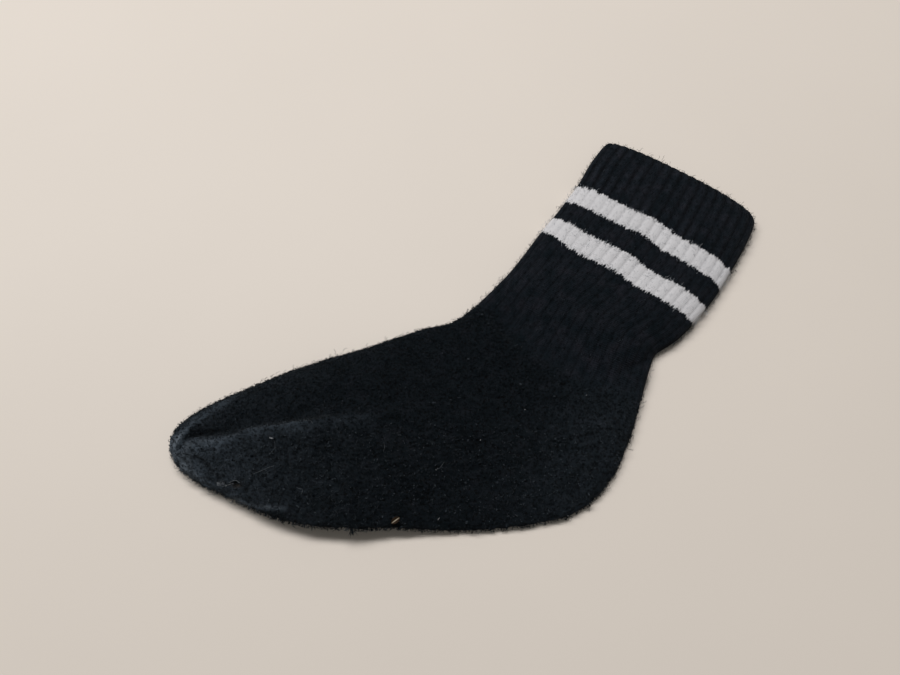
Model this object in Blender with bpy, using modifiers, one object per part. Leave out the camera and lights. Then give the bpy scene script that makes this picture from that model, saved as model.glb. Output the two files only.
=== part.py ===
"""A worn ribbed ankle sock, lying on its side on a flat surface.

Metres, +Z up. +X runs along the foot from the toe to the heel, +Y runs from the sole
towards the mouth of the leg, and the origin is under the middle of the sock.

The sock is one knitted tube. It is lofted through flattened sections, each of which spans
from the front of the sock (shin, instep, top of the toes) to its back (calf, heel, sole),
and the open surface then gets the thickness of the cloth. The underside is flat, the mouth
is open and the toe is closed.
"""

import math
from collections import namedtuple

import bmesh
import bpy
from mathutils import Vector

MM = 0.001

# Driving dimensions, in metres
WALL = 0.0019                # thickness of the knitted cloth
STEPS_AROUND = 40            # faces around the tube
STEPS_ALONG = 46             # faces from the mouth to the toe
EDGE_SHARE = 0.30            # height of the rounded side edges, as a share of the section's height
TOP_FULLNESS = 2.8           # superellipse power of the upper panel: 2 is a plain ellipse
UNDER_FULLNESS = 5.0         # the same for the underside, squarer so that it lies flat
UNDER_PRESS = 1.03           # how far the underside is pressed past flat before it is cut level
MERGE = 0.00001              # points nearer than this are one point

# Sections in millimetres, from the mouth to the toe. front and back are the ends of the
# flattened section, height is the top of the upper panel, bow is how far the middle of the
# section reaches towards the mouth, and lift is how far its back edge is raised off the
# surface that the sock lies on.
Section = namedtuple("Section", "place front_x front_y back_x back_y height bow lift")
SECTIONS = (
    Section("mouth", 74.4, 106.8, 147.2, 60.5, 8.6, 1.2, 0.0),
    Section("welt", 70.3, 102.8, 148.9, 53.5, 9.2, 2.6, 0.0),
    Section("cuff", 63.2, 92.7, 142.9, 41.9, 9.4, 3.2, 0.0),
    Section("upper ring", 54.6, 77.7, 132.3, 25.4, 9.3, 3.8, 0.0),
    Section("between the rings", 44.2, 62.8, 121.8, 10.6, 9.2, 3.8, 0.0),
    Section("lower ring", 32.7, 47.7, 109.6, -3.4, 9.2, 3.4, 0.0),
    Section("ankle rib", 22.2, 32.9, 98.7, -13.7, 9.2, 2.0, 0.0),
    Section("notch behind the ankle", 15.6, 24.2, 87.7, -20.8, 9.2, 1.2, 0.0),
    Section("back of the ankle", 9.6, 17.5, 84.4, -26.4, 8.8, 0.6, 0.0),
    Section("top of the heel", 3.9, 11.5, 80.8, -35.9, 8.2, 0.0, 0.0),
    Section("heel", -2.2, 5.9, 75.6, -50.5, 7.8, 0.0, 0.0),
    Section("heel pouch", -7.8, 1.2, 69.2, -66.2, 7.6, 0.0, 0.0),
    Section("heel corner", -12.6, -2.1, 59.5, -83.8, 6.8, 0.0, 0.0),
    Section("under the heel", -16.6, -4.1, 42.4, -98.7, 6.4, 0.0, 0.0),
    Section("front of the heel", -21.6, -5.3, 20.2, -104.2, 6.4, 0.0, 0.0),
    Section("arch", -30.5, -7.5, -1.0, -106.6, 6.6, 0.0, 0.0),
    Section("instep", -44.6, -12.8, -20.0, -106.8, 8.0, 0.0, 0.2),
    Section("middle of the foot", -60.4, -19.1, -40.2, -106.1, 10.4, 0.0, 2.4),
    Section("ball", -77.5, -24.7, -60.2, -106.5, 12.4, 0.0, 4.2),
    Section("root of the toes", -94.5, -30.9, -82.3, -104.6, 12.4, 0.0, 4.0),
    Section("toes", -110.4, -37.8, -101.6, -99.1, 11.6, 0.0, 2.2),
    Section("toe seam", -124.9, -44.4, -118.9, -91.8, 10.6, 0.0, 0.8),
    Section("toe pouch", -136.4, -50.5, -132.9, -85.6, 9.4, 0.0, 0.4),
    Section("toe end", -145.9, -57.9, -143.6, -78.1, 8.0, 0.0, 0.2),
    Section("toe tip", -148.2, -63.0, -146.9, -72.7, 6.6, 0.0, 0.0),
)
LIFT_START = 0.4             # how far across a section its lift starts, from 0 in the middle to 1 at the back
TIP_REACH = 0.8              # how far the closed end bulges past the last section, in millimetres

# The largest folds of the upper panel, in millimetres: a soft ridge (lift above 0) or
# trough (below 0) along a line of points, fading out at both ends. It is left_width wide to
# the left of the line, seen from its first point, and right_width wide to its right.
Fold = namedtuple("Fold", "place points left_width right_width lift")
FOLDS = (
    Fold("ridge over the toes", ((-137, -80), (-139, -74), (-137, -70), (-133, -68), (-123, -68), (-117, -66),
                                 (-110, -62.6), (-99, -62), (-86, -59.6), (-64, -57)), 2.2, 13.0, 2.4),
    Fold("its run out over the foot", ((-88, -60.5), (-66, -57.5), (-44, -54), (-22, -52.5)), 4.0, 12.0, 0.9),
    Fold("valley behind the ridge", ((-141, -73), (-138, -67), (-130, -64.6), (-119, -62.5), (-112, -60.4),
                                     (-104, -58), (-88, -56), (-74, -54)), 7.0, 2.2, -1.5),
    Fold("lip along the sole", ((-118, -92), (-106, -95), (-84, -96)), 6.0, 2.5, 0.9),
    Fold("trough across the arch", ((-36, -98), (-20, -92), (-8, -85), (-6, -70), (-6, -59)), 7.0, 9.0, -1.2),
    Fold("trough before the heel", ((-6, -89), (7, -84), (18, -82)), 6.0, 5.0, -0.6),
    Fold("crease above the heel", ((93, -20), (80, -26.5), (66, -33)), 4.0, 4.0, -1.8),
    Fold("dip in front of the ankle", ((26, 2), (17, -5), (9, -13)), 10.0, 9.0, -1.3),
    Fold("trough down the leg", ((120, 78), (96, 38), (66, 0)), 10.0, 12.0, -0.7),
)
FOLD_FADE = 0.15             # share of a fold's length over which each end fades


def clear_scene():
    """Remove whatever objects the scene starts with."""
    for obj in list(bpy.data.objects):
        bpy.data.objects.remove(obj, do_unlink=True)


def curve_through(values, at):
    """Read a smooth curve through evenly spaced values, at 0 for the first and 1 for the last."""
    last = len(values) - 1
    place = min(max(at, 0.0), 1.0) * last
    i = min(int(place), last - 1)
    t = place - i
    before, start, end, after = (values[min(max(i + k, 0), last)] for k in (-1, 0, 1, 2))
    slope = end - before
    bend = 2 * before - 5 * start + 4 * end - after
    twist = 3 * (start - end) + after - before
    return start + 0.5 * t * (slope + t * (bend + t * twist))


def section_at(along):
    """Section of the tube at a share of the way from the mouth, 0, to the toe, 1."""
    numbers = [curve_through([row[column] for row in SECTIONS], along) * MM
               for column in range(1, len(Section._fields))]
    return Section("", *numbers)


def fold_lift(x, y):
    """Rise of the upper panel at a place, from all the folds together."""
    here = Vector((x / MM, y / MM))
    total = 0.0
    for fold in FOLDS:
        points = [Vector(point) for point in fold.points]
        lengths = [(b - a).length for a, b in zip(points, points[1:])]
        nearest, share, run, width = 1e9, 0.0, 0.0, fold.left_width
        for a, b, length in zip(points, points[1:], lengths):
            t = min(max((here - a).dot(b - a) / length ** 2, 0.0), 1.0)
            distance = (here - a.lerp(b, t)).length
            if distance < nearest:
                nearest, share = distance, (run + t * length) / sum(lengths)
                is_left = (b - a).cross(here - a) > 0
                width = fold.left_width if is_left else fold.right_width
            run += length
        fade = min(1.0, share / FOLD_FADE, (1.0 - share) / FOLD_FADE)
        total += fold.lift * MM * fade * math.exp(-((nearest / width) ** 2))
    return total


def power(value, exponent):
    """Power that keeps the sign of its number."""
    return math.copysign(abs(value) ** exponent, value)


def tube_point(around, along):
    """Point of the outer surface: around is 0 to 1 from the front edge over the top and back below."""
    section = section_at(along)
    angle = math.tau * around
    fullness = TOP_FULLNESS if angle < math.pi else UNDER_FULLNESS
    across = -power(math.cos(angle), 2 / fullness)
    rise = power(math.sin(angle), 2 / fullness)
    front = Vector((section.front_x, section.front_y, 0))
    back = Vector((section.back_x, section.back_y, 0))
    span = back - front
    to_mouth = Vector((-span.y, span.x, 0)).normalized()
    point = front + span * (1 + across) / 2 + to_mouth * section.bow * (1 - across ** 2)
    edge = section.height * EDGE_SHARE
    raised = section.lift * max(0.0, (across - LIFT_START) / (1 - LIFT_START)) ** 2
    if rise > 0:
        point.z = edge + raised + (section.height - edge - raised + fold_lift(point.x, point.y)) * rise
    else:
        point.z = max(0.0, edge * (1 + UNDER_PRESS * rise)) + raised
    return point


def toe_point():
    """Point that closes the end of the toe."""
    tip = section_at(1.0)
    front = Vector((tip.front_x, tip.front_y, 0))
    back = Vector((tip.back_x, tip.back_y, 0))
    point = (front + back) / 2
    point.x -= TIP_REACH * MM
    point.z = tip.height * EDGE_SHARE
    return point


def make_sock(collection):
    """Loft the tube from a grid, close the toe and give the cloth its thickness."""
    bm = bmesh.new()
    bmesh.ops.create_grid(bm, x_segments=STEPS_AROUND, y_segments=STEPS_ALONG, size=0.5)
    rows_before_tip = STEPS_ALONG - 1
    for vert in bm.verts:
        around = vert.co.x + 0.5
        row = round((vert.co.y + 0.5) * STEPS_ALONG)
        vert.co = toe_point() if row == STEPS_ALONG else tube_point(around, row / rows_before_tip)
    bmesh.ops.remove_doubles(bm, verts=bm.verts, dist=MERGE)
    bmesh.ops.recalc_face_normals(bm, faces=bm.faces)
    mesh = bpy.data.meshes.new("sock")
    bm.to_mesh(mesh)
    bm.free()
    mesh.shade_smooth()
    sock = bpy.data.objects.new("sock", mesh)
    collection.objects.link(sock)
    wall = sock.modifiers.new("cloth", "SOLIDIFY")
    wall.thickness = WALL
    wall.offset = -1.0
    wall.use_even_offset = True
    return sock


def knit_material():
    """Black cotton terry and rib knit, matt."""
    material = bpy.data.materials.new("black cotton knit")
    material.use_nodes = True
    shader = material.node_tree.nodes["Principled BSDF"]
    shader.inputs["Base Color"].default_value = (0.008, 0.010, 0.012, 1.0)
    shader.inputs["Roughness"].default_value = 0.95
    shader.inputs["Metallic"].default_value = 0.0
    return material


def main():
    clear_scene()
    collection = bpy.data.collections.new("holey_sock")
    bpy.context.scene.collection.children.link(collection)
    sock = make_sock(collection)
    sock.data.materials.append(knit_material())


main()
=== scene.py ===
"""A worn black crew sock with two white rings, lying on its side on a pale surface.

The knit is one closed tube: the outside, a rounded welt at the mouth, and the inside. It is
mapped from a grid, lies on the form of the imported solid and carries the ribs, the folds and
the matted surface as real relief. The terry pile, the fuzz, the pills and the litter caught
in the cloth are separate pieces that stand on it.
"""

import math
from functools import partial

import bmesh
import bpy
import numpy as np
from bpy.props import FloatProperty, FloatVectorProperty, IntProperty, PointerProperty
from bpy.types import Operator, Panel, PropertyGroup
from mathutils import Matrix, Vector, noise


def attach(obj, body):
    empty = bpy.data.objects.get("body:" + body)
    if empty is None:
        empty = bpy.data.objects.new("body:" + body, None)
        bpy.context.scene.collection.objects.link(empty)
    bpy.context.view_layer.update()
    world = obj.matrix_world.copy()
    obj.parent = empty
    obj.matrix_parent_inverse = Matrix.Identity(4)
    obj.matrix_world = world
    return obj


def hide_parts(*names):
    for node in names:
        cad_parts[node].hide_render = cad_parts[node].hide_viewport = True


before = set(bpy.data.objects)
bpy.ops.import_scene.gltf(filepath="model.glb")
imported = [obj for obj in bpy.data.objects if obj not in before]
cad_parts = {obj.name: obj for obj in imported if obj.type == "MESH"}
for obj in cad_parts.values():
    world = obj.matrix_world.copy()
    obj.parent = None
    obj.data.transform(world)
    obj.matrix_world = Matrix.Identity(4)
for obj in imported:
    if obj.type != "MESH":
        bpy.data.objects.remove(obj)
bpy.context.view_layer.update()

bl_info = {
    "name": "Worn Crew Sock",
    "version": (1, 0, 0),
    "blender": (4, 5, 0),
    "location": "View3D > Sidebar > Sock",
    "description": "Knits a worn ribbed sock with terry pile, fuzz, pills and lint",
    "category": "Object",
}

MM = 0.001


def colour(code):
    """Linear red, green and blue of an sRGB hex code."""
    shares = [int(code[i:i + 2], 16) / 255 for i in (1, 3, 5)]
    return tuple(s / 12.92 if s <= 0.04045 else ((s + 0.055) / 1.055) ** 2.4 for s in shares)


# ---------------------------------------------------------------- the sock's form
# The tube is lofted through flattened sections, in millimetres, from the mouth to the toe:
# the front and the back end of each section, its height, how far its middle bows towards the
# mouth, and how far its back edge is raised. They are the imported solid's own.
SECTIONS = np.array((
    # front x, front y, back x, back y, height, bow, lift
    (74.4, 106.8, 147.2, 60.5, 8.6, 1.2, 0.0),       # mouth
    (70.3, 102.8, 148.9, 53.5, 9.2, 2.6, 0.0),       # welt
    (63.2, 92.7, 142.9, 41.9, 9.4, 3.2, 0.0),        # cuff
    (54.6, 77.7, 132.3, 25.4, 9.3, 3.8, 0.0),        # upper ring
    (44.2, 62.8, 121.8, 10.6, 9.2, 3.8, 0.0),        # between the rings
    (32.7, 47.7, 109.6, -3.4, 9.2, 3.4, 0.0),        # lower ring
    (22.2, 32.9, 98.7, -13.7, 9.2, 2.0, 0.0),        # ankle rib
    (15.6, 24.2, 87.7, -20.8, 9.2, 1.2, 0.0),        # notch behind the ankle
    (9.6, 17.5, 84.4, -26.4, 8.8, 0.6, 0.0),         # back of the ankle
    (3.9, 11.5, 80.8, -35.9, 8.2, 0.0, 0.0),         # top of the heel
    (-2.2, 5.9, 75.6, -50.5, 7.8, 0.0, 0.0),         # heel
    (-7.8, 1.2, 69.2, -66.2, 7.6, 0.0, 0.0),         # heel pouch
    (-12.6, -2.1, 59.5, -83.8, 6.8, 0.0, 0.0),       # heel corner
    (-16.6, -4.1, 42.4, -98.7, 6.4, 0.0, 0.0),       # under the heel
    (-21.6, -5.3, 20.2, -104.2, 6.4, 0.0, 0.0),      # front of the heel
    (-30.5, -7.5, -1.0, -106.6, 6.6, 0.0, 0.0),      # arch
    (-44.6, -12.8, -20.0, -106.8, 8.0, 0.0, 0.2),    # instep
    (-60.4, -19.1, -40.2, -106.1, 10.4, 0.0, 2.4),   # middle of the foot
    (-77.5, -24.7, -60.2, -106.5, 12.4, 0.0, 4.2),   # ball
    (-94.5, -30.9, -82.3, -104.6, 12.4, 0.0, 4.0),   # root of the toes
    (-110.4, -37.8, -101.6, -99.1, 11.6, 0.0, 2.2),  # toes
    (-124.9, -44.4, -118.9, -91.8, 10.6, 0.0, 0.8),  # toe seam
    (-136.4, -50.5, -132.9, -85.6, 9.4, 0.0, 0.4),   # toe pouch
    (-145.9, -57.9, -143.6, -78.1, 8.0, 0.0, 0.2),   # toe end
    (-148.2, -63.0, -146.9, -72.7, 6.6, 0.0, 0.0),   # toe tip
))
LAST_SECTION = len(SECTIONS) - 1
EDGE_SHARE = 0.30            # height of the rounded side edges, as a share of the section's height
TOP_FULLNESS = 2.8           # superellipse power of the upper panel: 2 is a plain ellipse
UNDER_FULLNESS = 5.0         # the same for the underside, squarer so that it lies flat
UNDER_PRESS = 1.03           # how far the underside is pressed past flat before it is cut level
LIFT_START = 0.4             # how far across a section its lift starts, from 0 in the middle to 1 at the back
TIP_REACH = 0.8              # how far the closed end bulges past the last section, in millimetres

# Folds of the upper panel, in millimetres: the line's points, its width to the left and to
# the right as seen from its first point, and its lift. The first nine are the solid's own,
# and the rest are the small creases that only the fine cloth has.
FOLDS = (
    # ridge over the toes, its run out over the foot, and the valley behind it
    (((-137, -80), (-139, -74), (-137, -70), (-133, -68), (-123, -68), (-117, -66),
      (-110, -62.6), (-99, -62), (-86, -59.6), (-64, -57)), 2.2, 13.0, 2.4),
    (((-88, -60.5), (-66, -57.5), (-44, -54), (-22, -52.5)), 4.0, 12.0, 0.9),
    (((-141, -73), (-138, -67), (-130, -64.6), (-119, -62.5), (-112, -60.4),
      (-104, -58), (-88, -56), (-74, -54)), 7.0, 2.2, -1.5),
    # lip along the sole
    (((-118, -92), (-106, -95), (-84, -96)), 6.0, 2.5, 0.9),
    # troughs across the arch and before the heel
    (((-36, -98), (-20, -92), (-8, -85), (-6, -70), (-6, -59)), 7.0, 9.0, -1.2),
    (((-6, -89), (7, -84), (18, -82)), 6.0, 5.0, -0.6),
    # crease above the heel, dip in front of the ankle and trough down the leg
    (((93, -20), (80, -26.5), (66, -33)), 4.0, 4.0, -1.8),
    (((26, 2), (17, -5), (9, -13)), 10.0, 9.0, -1.3),
    (((120, 78), (96, 38), (66, 0)), 10.0, 12.0, -0.7),
    # rim round the toe's end, and the groove between it and the pad under the ridge
    (((-145, -72), (-144.4, -67), (-142.5, -64), (-138, -59.6), (-132, -54.5)), 1.8, 1.6, 0.6),
    (((-145, -73.5), (-142.4, -69.4), (-140.6, -66), (-138, -64), (-131, -63.6), (-122, -63)),
     1.2, 1.0, -0.9),
    # small creases: toe end, ball, instep, heel and ankle
    (((-141, -72), (-132, -76), (-122, -78)), 3.0, 4.0, 0.5),
    (((-104, -68), (-97, -70), (-98, -75)), 1.2, 1.6, -0.5),
    (((-96, -80), (-78, -86), (-62, -88)), 5.0, 4.0, -0.5),
    (((-66, -72), (-50, -68), (-38, -70)), 4.0, 6.0, 0.5),
    (((-92, -44), (-66, -38), (-44, -36)), 6.0, 5.0, 0.5),
    (((-40, -26), (-24, -30), (-10, -28)), 5.0, 6.0, -0.6),
    (((10, -60), (26, -64), (44, -62)), 6.0, 7.0, 0.6),
    (((36, -94), (48, -86), (56, -74)), 4.0, 5.0, -0.5),
    (((66, -48), (58, -52), (48, -52)), 3.0, 4.0, -0.7),
    (((40, 26), (52, 14), (60, 0)), 6.0, 7.0, 0.4),
    # tuck at the notch, where the leg laps over the heel, and the pucker beside it
    (((91, -19), (85.5, -22.8), (80, -27), (74, -29.5), (69, -30)), 1.3, 1.8, -1.5),
    (((70, -34.5), (67, -32.5), (63.5, -35)), 1.2, 1.2, -0.7),
    # seam of the heel pouch, a faint raised line
    (((12, -18), (23, -24), (40, -33), (59, -42.5), (70, -46)), 1.1, 1.1, 0.12),
)
FOLD_FADE = 0.15             # share of a fold's length over which each end fades

# How far the courses of the upper panel are pulled towards the mouth, in millimetres, from
# the front edge at -1 to the back edge at 1. Most sag away from it, and they step in the middle.
COURSE_PULL = ((-1.0, 1.6), (-0.85, 0.6), (-0.6, -0.6), (-0.4, -1.2), (-0.25, -1.4), (-0.1, -0.5),
               (0.0, -0.4), (0.12, -1.3), (0.25, -2.3), (0.4, -2.1), (0.6, -1.1), (0.8, -0.2), (1.0, 0.0))

# Past this distance from the mouth the courses lie closer at the front edge, by this share
SQUEEZE_START = 50.0
SQUEEZE_END = 80.0
FRONT_SQUEEZE = 0.13
FRONT_START = 0.55           # how far towards the front edge it starts

# Where the ribs run out into the heel and the foot, as a place between two sections.
RIB_END = (
    (-1.0, 9.2), (-0.8, 9.3), (-0.6, 9.5), (-0.28, 10.0), (0.0, 10.0), (0.3, 9.8), (0.65, 9.4), (1.0, 8.9))
RIB_FADE = 1.3               # sections over which the ribs run out

# How pale the toes are along the foot: rubbed pale, and painted sheen where the light falls on them
TOE_WEAR_AND_SHEEN = ((-148, 1.6), (-138, 1.2), (-128, 0.72), (-115, 0.43), (-100, 0.25), (-85, 0.15),
            (-60, 0.06), (-40, 0.0))
TOP_WEAR_AND_SHEEN = 0.25              # the share of it that the instep's side has
TOE_SIDE = (61, 67)          # where the sole's side of the toes begins and is reached, as in SOLE_SIDE
# How much paler the heel is
HEEL_PALENESS = 0.2
HEEL_REACH = (41, 91)        # where it begins and is full, along the slant of the heel
WEAR_AND_LIGHT_PATCHES = (0.35, 9.0)   # how unevenly the rubbing and the painted light lie, and the size of their patches
UNDER_EDGE = -0.4            # how far round the edge towards the underside the rubbing and the painted light reach

# Lines of painted light, in millimetres as in the folds: painted highlights, in part over rubbed fibres, and
# painted shade where the share is below 0
PAINTED_LIGHT_LINES = (
    # crest of the ridge, a painted sheen highlight over rubbed fibres
    (((-138, -67.5), (-130, -67.3), (-124.2, -66.6), (-120, -65.9), (-115.3, -63.2), (-110.5, -61.7),
      (-104.7, -60.8), (-97.4, -60.8), (-91.2, -59.7), (-85, -58.5), (-81.7, -59.2), (-77, -62)),
     1.0, 4.5, 0.55),
    (((-96, -61.5), (-81, -60), (-70, -57.5), (-58, -56), (-48, -55)), 1.8, 6.0, 0.24),
    # rim of the toe's end and of the toes' upper edge, painted highlights, and the groove beside it, painted
    # shade
    (((-145, -76), (-144.8, -71), (-144.2, -67), (-142.2, -63.4), (-139, -60.4)), 1.5, 1.4, 0.6),
    (((-145, -73), (-144.6, -68), (-142.5, -64), (-138, -59.6), (-131, -53.5), (-116, -43.5)),
     3.2, 1.3, 0.55),
    (((-145, -73.5), (-142.4, -69.4), (-140.6, -66), (-138, -64), (-131, -63.6), (-118, -62.5)),
     2.0, 0.9, -0.8),
    # lower rim of the toes and the lip along the sole, painted highlights, and the side below the lip,
    # painted shade
    (((-143, -74), (-140, -78), (-132, -83.6), (-125, -87.6), (-117.5, -91), (-108, -95)), 1.4, 3.4, 0.4),
    (((-118, -92.8), (-111.5, -95.2), (-106.5, -96.6), (-98, -97.5), (-88, -98)), 1.2, 1.2, 1.3),
    (((-110, -99), (-98, -100.2), (-86, -101.4)), 1.6, 1.6, -0.4),
)

# The grid of the knit
COLUMNS_PER_RIB = 8
OUTER_ROWS = 300             # faces from the toe to the mouth outside
RIM_ROWS = 5                 # faces round the welt
INNER_ROWS = 34              # faces from the mouth to the toe inside
LOOP_STEPS = 720             # fine steps round a section, from which the columns are spaced
FOOT_DENSITY = 2.4           # rows in the foot for each row of the same length in the leg
MERGE = 1e-6                 # points nearer than this are one point

# Relief of the knit, in millimetres
CAP_ROWS = 8                 # of the rows, those that round off the toe
CIRCUMFERENCE = 180.0        # round the relaxed leg
GROOVE_POWER = 3.2           # how broad the ribs' crests are beside their grooves
RIB_WANDER = 0.5             # how far the ribs stray sideways
RIB_REST = 0.04              # share of their depth that the ribs keep in the foot
RIB_UNEVEN = 0.25            # share by which single ribs are deeper or shallower than the rest
RIB_LEVEL = 0.6              # height across a rib that lies on the plain tube, from groove to crest
RIB_PATCHES = (0.85, 0.3)    # share of their depth that the ribs have, and how far it wanders
PATCH_SIZE = 14.0            # how far apart the patches of deeper ribs are
INNER_RIB = 0.3              # height of the ribs on the inside
SAG = 0.35                   # slack of the upper panel, a soft unevenness
SAG_SIZE = 26.0              # how far apart its rises are
MAT_SIZES = (2.6, 1.4)       # sizes of the lumps into which the terry has matted
MAT_SHARES = (0.6, 0.9)      # share of their height on the instep's side, and how much more on the sole's
LEG_MATTING = 0.15           # share of it that the leg has
SOLE_SIDE = (52, 68)         # where the sole's side of the foot begins and where it is reached, as -y
PILE_SINK = 0.35             # how far the ground of the terry lies under the tops of its loops
INNER_END = 0.975            # where the inside ends, as a share of the way to the toe
INNER_CROWDING = 1.4         # how much closer its rows lie near the mouth: 1 is even
RELIEF_END = 0.985           # where the relief starts to die away before the toe's tip
WORN_SPOT = (-113.6, -87.4)  # a small hole worn into the side of the toes
WORN_SIZE = (2.6, 1.5)       # its half length and half width
WORN_DEPTH = 1.45            # it stops just short of the inside
WORN_RIM = 0.35              # height of the frayed rim round it
RIM_PLACE = (1.5, 0.5)       # how far out that rim lies and how broad it is, in half widths of the spot
WORN_RAGGED = (0.25, 1.6)    # how far its border strays, in half widths, and the size of the strays

# Rings, in metres from the mouth along the leg
RING_MIDDLE = 0.0579         # middle of the black gap between them
RING_GAP = 0.0139
RING_WIDTH = 0.0122
RING_POINT = 0.0008          # how far each stitch of a ring's edge comes to a point
RING_STEP = 0.0012           # how far single wales stray across a ring's edge
RING_FRAY = 0.0025           # how far the fibres stray there
RING_STRAY = 0.001           # how far the edge strays over several stitches
ROW_SHIFT = 97.3             # sets the strays of one edge apart from the next one's
YARN_BLEND = 0.0003          # half the width over which one yarn's fibres cover the other's

# Fine things on the knit, in millimetres unless they are sizes in metres or shares
CLUMP_SIZE = 2.4             # how far apart the tufts are into which the loops have gathered
CLUMP_LIFT = 0.5             # how much taller the loops stand in them
SOLE_SHAG = 0.9              # how much taller the loops stand on the steep edge of the sole
SHAG_PLACE = (85, 100)       # where they start to and where they do, as in SOLE_SIDE
PILE_START = (0.2, 1.0)      # share of terry at which the pile starts and is full
PILE_CLEAR = (0.3, 2.0)      # height over the floor between which it starts and is full
PILE_SIDES = (1.0, 0.7)      # height of the loops on the sole's side and on the instep's
PILE_TALL = (0.5, 1.1)       # spread of their heights and breadths, as shares of the pile's height
PILE_BROAD = (0.5, 1.3)
PILE_LOOSE = 0.1             # how far their tops stray, as such a share
GLINT_POWER = 5              # how few of them catch the light
GLINT_TONES = (0.5, 2.5)     # how pale those are, and how much paler in the tufts
WORN_AND_LIT_TONES = (0.15, 0.6)   # how pale the loops are where the cloth is rubbed and where highlights are painted on it
WORN_AND_LIT_LEVEL = 0.6           # share of that between the tufts
FUZZ_CLEAR = (0.3, 1.5)      # as PILE_CLEAR, for the loose fibres
EDGE_SLOPE = (0.2, 0.7)      # rise of a normal below which a face is at the outline, and above which it isn't
MOUTH_REACH = (0.001, 0.003)  # how near the mouth and the rings' borders more fibres stand, in metres
BORDER_REACH = (0.0005, 0.002)
BLACK_CROWDS = (4, 5, 6)     # how many more there are at the outline, the mouth and the rings' borders
WHITE_CROWDS = (4, 0, 4)
WHITE_ENDS = 6               # fibre ends over the whole sock for each one over the rings
FUZZ_LENGTH = (5.0, 0.00028)  # shape and scale of the spread of their lengths, about 1.4 mm
FUZZ_TALL = (0.1, 0.5)       # how steeply they stand
FUZZ_LOOSE = 0.16            # how far their points stray
FUZZ_SINK = 0.2              # how deep their roots sit
FUZZ_TONES = (6, 0.5, 0.3)   # how few are pale, how much paler they are where the knit is rubbed and painted light, and the painted rim highlight at the outline
CURL_BENDS = 7
CURL_TURN = 0.55             # spread of the turn at each bend, in radians
CURL_STEP = (0.2, 0.45)      # way from bend to bend
CURL_TALL = (0.35, 0.75)     # height over the ground of the terry
CURL_TONES = (0.1, 0.6)      # the darkest curl's, and how much more the palest has
CURL_SIDE = (52, 72)         # where the curls begin and are full, as in SOLE_SIDE
CURL_TOES = (30, 110)        # where more of them begin and are full towards the toes, as -x
TOE_CROWD = 3                # how many more there are
PILL_RADII = (0.25, 0.6)
PILL_STRETCH = (0.75, 1.3)   # how long and flat they are, as shares of their radii
PILL_ROUGH = (0.5, 1.4)      # how deep and how fine their bumps are
PILL_TONE = 0.35             # the palest pill's
HAIR = 0.00009               # thickness of a loose fibre, drawn coarser than the real one so that it shows
FRAY = 0.0002                # thickness of a broken yarn
FRAYED_YARNS = 46            # how many lie round the worn spot
FRAY_REACH = (0.6, 2.2)
FRAY_HEIGHT = 0.4            # height of the rim on which they start
FRAY_SPREAD = 0.9            # how far their aims stray from the spot's middle
FRAY_LOOSE = 0.12            # how far their points stray
FRAY_SINK = 0.6              # how deep their roots sit
FLUFF_FIBRES = 60
TUFT = 0.00017               # thickness of a yarn's fibres where they stand out as a tuft
TUFT_SPREAD = 0.35           # of their places in millimetres, and of their turns in radians
TUFT_REACH = (0.4, 1.0)      # spread of the fibres' lengths, as shares of the tuft's
TAPER = np.array((0.0, 1.0, 1.0, 0.0))  # thickness of a short strand at its four points

# Shapes of short strands: how far along the surface and how far above it each of their points lies, as
# shares of their reach and height
LOOP_SHAPE = ((0.0, -0.6), (0.1, 0.8), (0.75, 1.0), (1.0, -0.4))
FIBRE_SHAPE = ((0.0, 0.0), (0.3, 0.8), (0.7, 1.0), (1.0, 0.8))
FRAY_SHAPE = ((-0.4, 0.0), (0.0, 0.1), (0.5, -0.2), (1.0, -0.5))
TUFT_SHAPE = ((-0.5, 0.0), (0.3, 0.05), (0.7, 0.15), (1.0, 0.3))

# Longer strands
TANGLE_START = 0.6           # spread of a tangle's first points and of its steps, as shares of its size
TANGLE_STEP = 0.4
TANGLE_POINTS = 5
BENT_POINTS = 14             # points of a single hair or thread
CELL = (0.1, 0.8)            # where a strand starts in its cell of the map, and how much of it it fills
FLUFF_SPOT = (-118.6, -86.7)
FLUFF_REACH = (4.0, 1.6, 0.4)
WORN_THREAD = ((-117.1, -86.9), (-115.3, -85.8), (-113.4, -85.4), (-111.2, -86.8))
LINT = (
    # x, y, length, width, turn in degrees, count of fibres
    (-98.3, -66.8, 2.6, 0.5, -12, 20),
    (-21.9, -80.0, 1.1, 0.6, 40, 12),
    (20.4, -50.9, 0.9, 0.5, 20, 8),
    (-1.6, -66.0, 0.8, 0.5, 70, 8),
    (-21.1, -101.8, 1.2, 0.3, 60, 10),
    (49.4, -44.6, 0.5, 0.3, 0, 6),
    (38.3, -101.6, 0.8, 0.4, 30, 8),
)
HAIRS = (
    # points, thickness
    (((-105.7, -82.7), (-101.2, -81.3), (-98.5, -79.9), (-96.3, -79)), 0.08),
    (((-97.2, -67.4), (-96.6, -71), (-98.8, -74.3)), 0.06),
    (((-83.8, -58.5), (-80.8, -59.1), (-79.5, -60.4)), 0.06),
    (((-21.9, -80), (-20.2, -78.6), (-18.4, -76.2)), 0.08),
    (((-46.7, -68), (-46.5, -70), (-46.9, -72)), 0.06),
    (((-85.7, -89.0), (-84.4, -89.1), (-83.2, -89.9)), 0.07),
    (((-83.1, -89.2), (-82.6, -90.6), (-83.1, -92.2)), 0.07),
)
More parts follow.
